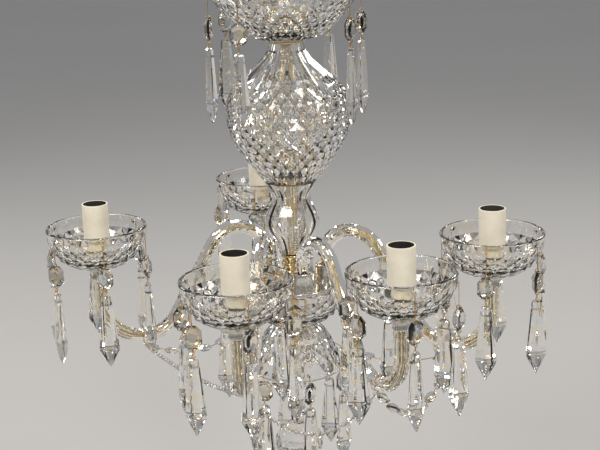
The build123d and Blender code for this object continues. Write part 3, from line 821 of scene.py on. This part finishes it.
class CHANDELIER_OT_pear_body(Operator):
    """Cut the pear-shaped body: fluted shoulder above, crossing diamonds below"""

    bl_idname = "chandelier.pear_body"
    bl_label = "Pear Body"

    def execute(self, context):
        columns = 4 * round(context.scene.chandelier_cutting.body_diamonds / 2)
        low, top = node_heights("pear_body")
        height = top - low
        shoulder, plain, neck, belly, foot = 61.0, 15.0, 17.0, 64.0, 27.0

        def radius_at(below):
            if below < shoulder:
                part = below / shoulder
                return neck + part * part * (3 - 2 * part) * (belly - neck)
            part = max(0.0, below - shoulder - plain) / (height - shoulder - plain)
            return foot + cos(pi / 2 * part) * (belly - foot)

        count = 18
        depths = [height * row / count for row in range(count + 1)]
        outer = [(radius_at(below), top - below) for below in depths]
        inner = [(radius - BODY_WALL, level) for radius, level in outer]
        bm = turned(outer + inner[::-1], columns)
        deep = groove() * 1.6
        first_diamond = 5
        flute = (0.0, 0.556, 0.889, 1.0, 0.889, 0.556)

        def relief(row, column):
            if row in (0, count):
                return 0.0
            if row < first_diamond:
                return -0.07 * outer[row][0] * flute[column % len(flute)]
            return 0.3 * deep if (row + column) % 2 else -0.7 * deep

        cut_wall(bm, outer, columns, relief, flat=36)
        finish_glass("pear_body_cut", bm, "pear_body")
        return {"FINISHED"}


class CHANDELIER_OT_baluster(Operator):
    """Turn the baluster with its upright panels"""

    bl_idname = "chandelier.baluster"
    bl_label = "Baluster"

    def execute(self, context):
        low, top = node_heights("baluster")
        waist = from_level(top, (27.4, 0), (19.8, -18), (28.5, -42.5), (18.3, -64))
        outer = flowing([*waist, (14.9, low)], 7)
        inner = [(radius - BODY_WALL, level) for radius, level in outer]
        bm = turned(outer + inner[::-1], 12)
        finish_glass("baluster_cut", bm, "baluster", sharp=20, material=crystal("plain_crystal", painted_glint_share=0.5))
        return {"FINISHED"}


class CHANDELIER_OT_lower_bowls(Operator):
    """Cut the receiver bowl under the arms and the dome below it"""

    bl_idname = "chandelier.lower_bowls"
    bl_label = "Receiver Bowl and Dome"

    def execute(self, context):
        columns = 2 * context.scene.chandelier_cutting.pan_diamonds
        bm = diamond_bowl(
            columns, 54.0, 22.0, 41.0, fullness=2.0, wall=LOW_WALL, plain_to=0.12, flutes_from=0.8, count=9
        )
        lift(bm, node_heights("receiver_bowl")[1])
        finish_glass("receiver_bowl_cut", bm, "receiver_bowl")
        bm = diamond_bowl(
            columns, 48.0, 20.0, 52.5, fullness=1.5, wall=LOW_WALL, plain_to=0.2, flutes_from=0.78, count=10
        )
        move(bm, Matrix.Rotation(pi, 4, "X"))
        lift(bm, node_heights("lower_dome")[0])
        pivots = [drop_pivot(f"dome_drop_{number + 1}") for number in range(DOME_DROPS)]
        drill(bm, [facing(azimuth, pivot) for pivot, azimuth in pivots], radius=1.7, length=12)
        finish_glass("lower_dome_cut", bm, "lower_dome")
        return {"FINISHED"}


class CHANDELIER_OT_finial(Operator):
    """Turn the ringed finial and cut facets on its ball"""

    bl_idname = "chandelier.finial"
    bl_label = "Finial"

    def execute(self, context):
        low, top = node_heights("finial")
        spindle = from_level(top, (0, 0), (8.4, 0), (9, -0.8), (9, -5.2), (8.2, -6), (7.5, -7), (7.5, -19))
        spindle += from_level(top, (8.6, -26), (10, -32), (8.4, -36), (5.7, -39))
        first_ring, pitch = top - 46, 7
        for ring in range(4):
            spindle += bulge(5.5, 2.5, first_ring - pitch * ring, 2.6)
        spindle += from_level(top, (5.5, -72), (5.5, -77.5))
        turns = [pi * (0.07 + 0.86 * row / 8) for row in range(9)]
        ball = [(26 * sin(turn), top - 100 + 22.6 * cos(turn)) for turn in turns]
        tip = from_level(low, (5.2, 11.5), (5.8, 9), (4.4, 5), (2.2, 1.6), (0, 0))
        bm = turned(spindle + ball + tip, 20, closed=False)
        cut_wall(bm, ball, 20, lambda row, column: 0.6 if (row + column) % 2 and 0 < row < 8 else 0.0)
        finish_glass("finial_cut", bm, "finial", sharp=14)
        return {"FINISHED"}


# ---- brass and plated metal
class CHANDELIER_OT_column_metal(Operator):
    """Turn the eye, nuts, collars, arm plate and ferrules"""

    bl_idname = "chandelier.column_metal"
    bl_label = "Column Metal"

    def execute(self, context):
        eye = soft_ring(band(10, 15, -3, 3), 1.1, columns=48)
        move(eye, Matrix.Rotation(pi / 2, 4, "X"))
        shank = [(METAL_BORE, -25), (8, -25), (8, -18), (6.6, -16.6), (7.6, -15), (6, -13.4), (METAL_BORE, -13.4)]
        eye = gathered([eye, soft_ring(shank, 0.7, steps=2, columns=32)])
        finish_piece("eye_turned", eye, brass(), "brass", "hanging_eye", sharp=32)

        floor = node_heights("top_bowl")[0] + TOP_WALL
        nut = from_level(floor, (METAL_BORE, 0), (14, 0), (14, 4), (11, 6), (8.4, 9), (8.4, 20), (7, 22))
        nut.append((METAL_BORE, floor + 22))
        collar_top, ring_pitch, ring_count = -334, 8.5, 4
        rings = [(METAL_BORE, collar_top)]
        for ring in range(ring_count):
            middle = collar_top - ring_pitch * (ring + 0.5)
            rings += [(10.2, middle + 4.2), *bulge(10.2, 2.3, middle, 3.2), (10.2, middle - 4.2)]
        rings.append((METAL_BORE, collar_top - ring_count * ring_pitch))
        column = (
            soft_ring(nut, 1.0, steps=3),
            washer(18, -114, -112, 0.8),
            washer(24, -257.5, -256, 0.6),
            turned(rings, 40),
            washer(8, -406, -372, 0.6),
            washer(16, -411.5, -410, 0.6),
            washer(12, -423.5, -415.5, 0.5, steps=2, columns=6),
        )
        finish_piece("column_brass", gathered(column), brass(), "brass", "column_nuts", sharp=32)

        base, top = node_heights("arm_plate")
        flare = base + PLATE_THICKNESS
        bm = washer(44.8, base, flare, 1.4, steps=4, columns=72)
        cup = from_level(flare, (9.1, -0.5), (11.6, -0.5), (11.3, 1), (10.3, 3))
        cup += from_level(top, (10.1, -3), (10.6, -1.2), (10.3, -0.2), (9.6, 0), (9.1, -0.8))
        stamp(bm, turned(cup, 36), [Matrix.Translation(point) for point in cup_points()])
        finish_piece("arm_plate_plated", bm, plated(), "plate_metal", "arm_plate", sharp=30)

        low, high = node_heights("arm_ferrules")
        foot = [(7.8, low), (8.9, low)]
        foot += from_level(top, (8.9, 0), (9.8, 0), (10.3, 0.5), (10.3, 1.2), (9.9, 1.6), (8.2, 1.6), (7.8, 1.2))
        feet = stamped(turned(foot, 36), arm_places())
        finish_piece("foot_ferrules", feet, plated(), "brass", "arm_ferrules", sharp=30)
        edge = high - 4
        gallery = from_level(edge, (7.8, -10), (8.9, -10), (9.3, -9), (8.9, -8), (8.9, -2), (10.6, -0.4), (12.6, 0))
        gallery += from_level(edge, (13.5, 1), (13.5, 1.8), (12.7, 2.4), (13.2, 3.2), (12.8, 4), (0, 4), (0, 0))
        gallery.append((7.8, edge))
        seats = stamped(turned(gallery, 36), arm_ends())
        finish_piece("pan_seats", seats, plated(), "plate_metal", "arm_ferrules", sharp=30)

        tube = threaded_tube()
        for place in frame["nodes"]["centre_tube"].material_slots:
            place.material = tube
        return {"FINISHED"}


# ---- glass arms
class ArmPath:
    """Centre line of an arm in its own XZ plane: rise, arch, straight run, low bend and rise."""

    def __init__(self):
        self.foot_z = -368.0
        rise, arch, run, low, end_rise = 27.0, 31.0, 87.7, 42.0, 34.9
        fall = radians(60.8)
        sweep = pi / 2 + fall
        # length of each part, and how fast its heading turns
        self.parts = ((rise, 0), (arch * sweep, -1 / arch), (run, 0), (low * sweep, 1 / low), (end_rise, 0))
        self.length = sum(length for length, _ in self.parts)
        self.lowest = rise + arch * sweep + run + low * fall

    def at(self, way):
        """Point and direction at a way along the arm."""
        x, z, heading = 0.0, self.foot_z, pi / 2
        for length, bend in self.parts:
            step = min(way, length)
            turn = heading + bend * step
            if bend:
                x += (sin(turn) - sin(heading)) / bend
                z += (cos(heading) - cos(turn)) / bend
            else:
                x += cos(heading) * step
                z += sin(heading) * step
            heading = turn
            way -= step
        return Vector((x, 0, z)), Vector((cos(heading), 0, sin(heading)))


class CHANDELIER_OT_glass_arms(Operator):
    """Draw the fluted arms with notched ridges, their bore and the flex inside"""

    bl_idname = "chandelier.glass_arms"
    bl_label = "Glass Arms"

    def execute(self, context):
        cutting = context.scene.chandelier_cutting
        path = ArmPath()
        sides = 2 * cutting.arm_flutes
        station_pitch, foot_stations, end_stations = 3.4, 6, 5
        stations = round(path.length / station_pitch)
        notch = mm(cutting.arm_notch)
        flute_radius, bore_radius = 6.2, 3.7
        strand_radius, strand_lay, twist = 1.75, 1.6, 0.9

        def station_frame(station):
            spot, along = path.at(path.length * station / (stations - 1))
            return spot, Vector((along.z, 0, -along.x))

        def fluted(side, station):
            radius = flute_radius if side % 2 else ARM_RADIUS
            in_ferrule = station < foot_stations or station > stations - end_stations
            if station % 2 and not side % 2 and not in_ferrule:
                radius -= notch
            return around(*station_frame(station), radius, tau * side / sides)

        def bored(side, station):
            return around(*station_frame(station), bore_radius, tau * side / sides)

        arm = bmesh.new()
        outside = drawn_tube(arm, sides, stations, fluted)
        inside = drawn_tube(arm, sides, stations, bored)
        for outer, inner in zip(outside, inside):
            bmesh.ops.bridge_loops(arm, edges=ring_edges(outer) + ring_edges(inner))
        places = arm_places()
        amber = crystal("arm_crystal", painted_glint_share=0.3, scale=45.0, warmth=1.0)
        finish_glass("glass_arms_fluted", stamped(arm, places), "glass_arms", sharp=9, material=amber)

        flex = bmesh.new()
        for lane in range(2):

            def strand(side, station, lane=lane):
                spot, across = station_frame(station)
                middle = around(spot, across, strand_lay, twist * station + pi * lane)
                return around(middle, across, strand_radius, tau * side / 6)

            for end in drawn_tube(flex, 6, stations, strand):
                bmesh.ops.contextual_create(flex, geom=ring_edges(end))
        colour = fittings().flex
        silk = worn("silk_flex", colour, shade(colour, 0.7), 0.4, 0.6, patch=120.0, grain=700.0, relief=0.3)
        finish_piece("arm_flex", stamped(flex, places), silk, "holder_plastic", sharp=60)
        return {"FINISHED"}


# ---- candle pans and holders
class CHANDELIER_OT_candle_pans(Operator):
    """Cut the five candle pans and drill their rims"""

    bl_idname = "chandelier.candle_pans"
    bl_label = "Candle Pans"

    def execute(self, context):
        columns = 2 * context.scene.chandelier_cutting.pan_diamonds
        bm = diamond_bowl(
            columns, 52.5, 16.0, 43.0, fullness=2.0, wall=PAN_WALL, plain_to=0.19, flutes_from=0.84, count=9, hole=4.4
        )
        reach = 50.5
        hole = Matrix.Translation((reach, 0, -HOLE_BELOW_RIM))
        turns = [tau * number / PAN_HOLES for number in range(PAN_HOLES)]
        drill(bm, [Matrix.Rotation(turn, 4, "Z") @ hole for turn in turns], radius=1.7, length=12)
        places = [facing(azimuth, centre) for centre, azimuth in map(pan_place, ARM_LETTERS)]
        finish_glass("candle_pans_cut", stamped(bm, places), "candle_pans")
        return {"FINISHED"}


class CHANDELIER_OT_candles(Operator):
    """Make the lampholders and their card sleeves"""

    bl_idname = "chandelier.candles"
    bl_label = "Candles"

    def execute(self, context):
        look = fittings()
        ends = arm_ends()
        low, top = node_heights("lampholders")
        floor = low + PAN_WALL
        base = floor + 12.5
        seat = base + 13.0
        stub = [(0, low), (4, low), (4, floor)]
        stub += from_level(floor, (8.6, 0), (9, 0.5), (9, 1.2), (8.5, 1.6), (7.2, 1.9), (7, 2.6))
        stub += from_level(base, (7, -3), (7.6, -2.4), (7.6, 0), (0, 0))
        skirt = from_level(base, (0, 0), (9.0, 0), (9.5, 0.5))
        skirt += from_level(seat, (9.5, -2.6), (10.2, -2), (12.5, -1.2), (12.9, -0.8), (12.9, -0.2), (12.6, 0), (0, 0))
        core = from_level(seat, (11.3, 0), (11.7, 0.4))
        core += from_level(top, (11.7, -1), (11.2, -0.3), (10.6, 0), (7.6, 0), (7.2, -0.4))
        turns, thread_pitch = 7, 2.4
        for turn in range(turns):
            core += from_level(top - thread_pitch * turn, (7.0, -1.2), (7.25, -2.4))
        core += [(7.0, top - 18.4), *from_level(seat, (6.6, 0.3), (0, 0.3))]
        dark = worn("dark_holder", (0.035, 0.028, 0.022), (0.09, 0.07, 0.05), 0.3, 0.5)
        cream = worn("cream_skirt", look.skirt, shade(look.skirt, 0.86), 0.32, 0.5, patch=60.0)
        # black socket plastic of the lamp cores; the same material is painted shade on the inner wall of each sleeve
        black_and_painted_shade = worn("socket_black", (0.02, 0.018, 0.017), (0.05, 0.045, 0.04), 0.35, 0.6)
        holders = (("lamp_stubs", stub, 32, dark), ("lamp_skirts", skirt, 36, cream), ("lamp_cores", core, 32, black_and_painted_shade))
        for name, profile, columns, material in holders:
            shape = stamped(turned(profile, columns, closed=False), ends)
            finish_piece(name, shape, material, "holder_plastic", "lampholders", sharp=30)

        low, top = node_heights("candle_sleeves")
        wall = stamped(soft_ring(band(12, 13.5, low, top), 0.55, columns=48), ends)
        ivory = look.sleeve
        card = worn("ivory_card", ivory, shade(ivory, 0.9), 0.5, 0.68, patch=55.0, grain=900.0, relief=0.15)
        sleeves = finish_piece("candle_sleeves_card", wall, card, "sleeve_card", "candle_sleeves", sharp=30)
        # faces on the inside of each sleeve take the black material: painted shade inside the card
        sleeves.data.materials.append(black_and_painted_shade)
        middles = [end.translation.xy / 1000 for end in ends]
        inside_reach = 0.01215
        for face in sleeves.data.polygons:
            spot = face.center.xy
            if min((spot - middle).length for middle in middles) < inside_reach:
                face.material_index = 1
        return {"FINISHED"}


# ---- hanging drops
def octagon_shape(width, height, thickness, corner):
    """Cut octagon with a girdle, crown facets and a table on both sides, its long way along Z."""
    outlines = []
    for depth, share in ((-0.5, 0.5), (-0.27, 0.79), (-0.07, 1.0), (0.07, 1.0), (0.27, 0.79), (0.5, 0.5)):
        half_width, half_height, cut = width / 2 * share, height / 2 * share, corner * share
        corners = eight_corners((half_width, half_height - cut), (half_width - cut, half_height))
        outlines.append([(x, depth * thickness, z) for x, z in corners])
    return stacked(outlines)


def prism_shape(length, width):
    """Long pointed prism hanging from height 0, its broad faces towards the front and back."""
    levels = (
        (0.0, 7.2, 4.6, 2.0, 1.2),
        (-1.6, 9.5, 7.0, 3.0, 1.7),
        (-9.0, 11.0, 7.6, 3.0, 1.9),
        (-(length - 21.5), width - 0.2, 11.8, 3.0, 2.6),
        (-(length - 18.5), width - 0.4, 11.6, 2.6, 2.6),
        (-(length - 6.0), width * 0.34, 6.6, 1.6, 1.1),
        (-length, 0.9, 1.5, 0.6, 0.3),
    )
    outlines = []
    for level, wide, thick, edge, table in levels:
        corners = eight_corners((thick / 2, table), (edge / 2, wide / 2))
        outlines.append([(x, y, level) for y, x in corners])
    return stacked(outlines)


class CHANDELIER_OT_drops(Operator):
    """Hang the octagons and pointed prisms on their wire hooks"""

    bl_idname = "chandelier.drops"
    bl_label = "Hanging Drops"

    def execute(self, context):
        for number in range(TOP_DROPS):
            self.hang(context, f"top_drop_{number + 1}", number, TOP_WALL)
        for index, letter in enumerate(ARM_LETTERS):
            for hole in range(PAN_HOLES):
                self.hang(context, f"pan_{letter}_drop_{hole + 1}", index * PAN_HOLES + hole + 3, PAN_WALL)
        for number in range(DOME_DROPS):
            self.hang(context, f"dome_drop_{number + 1}", number + 40, LOW_WALL, leg=7.0, link=5.0, rise=-3.0, eye=1.5)
        return {"FINISHED"}

    def hang(self, context, name, number, wall, leg=25.0, link=8.0, rise=3.0, eye=2.2):
        """Makes one drop, its glass in one piece and its wires in another; its number only varies how it is turned."""
        sizes = context.scene.chandelier_drops
        wire = mm(sizes.wire_radius)
        pivot, azimuth = drop_pivot(name)
        place = facing(azimuth, pivot) @ Matrix.Translation((HOOK_STAND + wall / 2, 0, 0))
        bead_turn = self.uneven_turn(sizes, number)
        prism_turn = self.uneven_turn(sizes, number + 0.5)
        tall = mm(sizes.octagon_height)
        bead_base = -leg - tall
        prism_top = bead_base - link

        glass = bmesh.new()
        bead = octagon_shape(mm(sizes.octagon_width), tall, mm(sizes.octagon_thickness), corner=5.0)
        stamp(glass, bead, [place @ Matrix.Translation((0, 0, -leg - tall / 2)) @ bead_turn])
        prism = prism_shape(mm(sizes.prism_length), mm(sizes.prism_width))
        stamp(glass, prism, [place @ Matrix.Translation((0, 0, prism_top)) @ prism_turn])
        body = f"{name}_body"
        finish_piece(f"{name}_glass", glass, drop_crystal(), "drop_glass", name, body=body, sharp=8)

        wires = bmesh.new()
        inner = -(HOOK_STAND * 2 + wall)
        hook = [(inner, 0, rise), (inner, 0, 0), (0, 0, 0), (0, 0, -leg + 1.6)]
        bent_wire(wires, eased(hook, rounding=1.5), wire)
        sink = 0.1
        hung = ((-leg - sink, bead_turn), (bead_base - sink, bead_turn), (prism_top + sink, prism_turn))
        loops = [Matrix.Translation((0, 0, height)) @ turn @ UPRIGHT for height, turn in hung]
        stamp(wires, ring_shape(eye, wire * 0.9, columns=14, sides=5), loops)
        link_top = bead_base - sink - eye
        link_base = prism_top + sink + eye
        if link_top > link_base:
            bent_wire(wires, [(0, 0, link_top + 0.4), (0, 0, link_base - 0.4)], wire * 1.3)
        move(wires, place)
        finish_piece(f"{name}_wire", wires, hook_wire(), "wire", name, body=body, sharp=60)

    def uneven_turn(self, sizes, number):
        """Turn of a hanging piece from its rim, uneven from one piece to the next."""
        return Matrix.Rotation(pi / 2 + sizes.turn_swing * sin(radians(137.5 * number)), 4, "Z")


# ---- bead swags
def towards(direction):
    """Rotation that turns +Z to a direction."""
    return direction.to_track_quat("Z", "Y").to_matrix().to_4x4()


class CHANDELIER_OT_swags(Operator):
    """String the bead swags between neighbouring arms"""

    bl_idname = "chandelier.swags"
    bl_label = "Bead Swags"

    def execute(self, context):
        path = ArmPath()
        wire = mm(context.scene.chandelier_drops.wire_radius)
        ring_radius, below_ring, octagon_count, bead_pitch = 8.3, 9.2, 8, 5.2
        bottom = Matrix.Translation(path.at(path.lowest)[0])
        rings = [place @ bottom for place in arm_places()]
        wires = stamped(ring_shape(ring_radius, wire, columns=24), [ring @ UPRIGHT for ring in rings])
        beads = bmesh.new()
        rng = random.Random(7)
        ends = [ring.translation - Vector((0, 0, below_ring)) for ring in rings]
        # droop of each swag below its ends, and whether it is a chain of fine round beads
        swags = ((42.0, False), (38.0, False), (34.0, False), (9.0, True), (42.0, True))
        for index, (droop, fine) in enumerate(swags):
            start, end = ends[index], ends[(index + 1) % ARM_COUNT]

            def at(share, start=start, end=end, droop=droop):
                spot = start.lerp(end, share)
                spot.z -= 4 * droop * share * (1 - share)
                return spot

            count = round((end - start).length / bead_pitch) if fine else octagon_count
            # half a bead with its gap, and how far a bead may roll
            half, sway = (2.3, 0.5) if fine else (7.5, 0.25)
            places = []
            for bead in range(count):
                share = (bead + 0.5) / count
                middle = at(share)
                along = (at(share + 0.02) - at(share - 0.02)).normalized()
                roll = Matrix.Rotation(rng.uniform(-sway, sway), 4, "Z")
                places.append(Matrix.Translation(middle) @ towards(along) @ roll)
                head = start
                if bead:
                    head = at(share - 1 / count)
                    head = head + (at(share - 1 / count + 0.02) - head).normalized() * half
                self.pin(wires, head, middle - along * half, wire)
                if bead == count - 1:
                    self.pin(wires, middle + along * half, end, wire)
            if fine:
                shape = bmesh.new()
                bmesh.ops.create_uvsphere(shape, u_segments=8, v_segments=5, radius=2.4)
            else:
                shape = octagon_shape(width=12.0, height=15.0, thickness=7.0, corner=3.5)
            stamp(beads, shape, places)
        finish_piece("bead_swags_cut", beads, drop_crystal(), "drop_glass", "bead_swags", sharp=8)
        finish_piece("swag_wires_bent", wires, hook_wire(), "wire", "swag_wires", sharp=60)
        return {"FINISHED"}

    def pin(self, wires, tail, head, radius):
        """Straight wire between two points."""
        reach = head - tail
        if reach.length >= 0.1:
            middle = Matrix.Translation((tail + head) / 2)
            rod(wires, radius, reach.length, sides=5, place=middle @ towards(reach))


# ---- panel and registration
PIECES = (
    CHANDELIER_OT_stage,
    CHANDELIER_OT_top_bowl,
    CHANDELIER_OT_pear_body,
    CHANDELIER_OT_baluster,
    CHANDELIER_OT_lower_bowls,
    CHANDELIER_OT_finial,
    CHANDELIER_OT_column_metal,
    CHANDELIER_OT_glass_arms,
    CHANDELIER_OT_candle_pans,
    CHANDELIER_OT_candles,
    CHANDELIER_OT_drops,
    CHANDELIER_OT_swags,
)
LOOKS = (
    ("chandelier_crystal", CrystalLook),
    ("chandelier_cutting", CuttingSizes),
    ("chandelier_drops", DropSizes),
    ("chandelier_fittings", FittingsLook),
    ("chandelier_stage", StageLook),
)


class CHANDELIER_PT_panel(Panel):
    """Sizes, colours and builders of the chandelier"""

    bl_label = "Chandelier"
    bl_idname = "CHANDELIER_PT_panel"
    bl_space_type = "VIEW_3D"
    bl_region_type = "UI"
    bl_category = "Chandelier"

    def draw(self, context):
        for name, group in LOOKS:
            box = self.layout.box()
            for key in group.__annotations__:
                box.prop(getattr(context.scene, name), key)
        for builder in PIECES:
            self.layout.operator(builder.bl_idname)


def register():
    for name, group in LOOKS:
        bpy.utils.register_class(group)
        setattr(bpy.types.Scene, name, PointerProperty(type=group))
    for builder in PIECES:
        bpy.utils.register_class(builder)
    bpy.utils.register_class(CHANDELIER_PT_panel)


def unregister():
    bpy.utils.unregister_class(CHANDELIER_PT_panel)
    for builder in reversed(PIECES):
        bpy.utils.unregister_class(builder)
    for name, group in reversed(LOOKS):
        delattr(bpy.types.Scene, name)
        bpy.utils.unregister_class(group)


def main():
    """Builds every piece in order."""
    register()
    for builder in PIECES:
        family, call = builder.bl_idname.split(".")
        getattr(getattr(bpy.ops, family), call)()


if __name__ == "__main__":
    main()
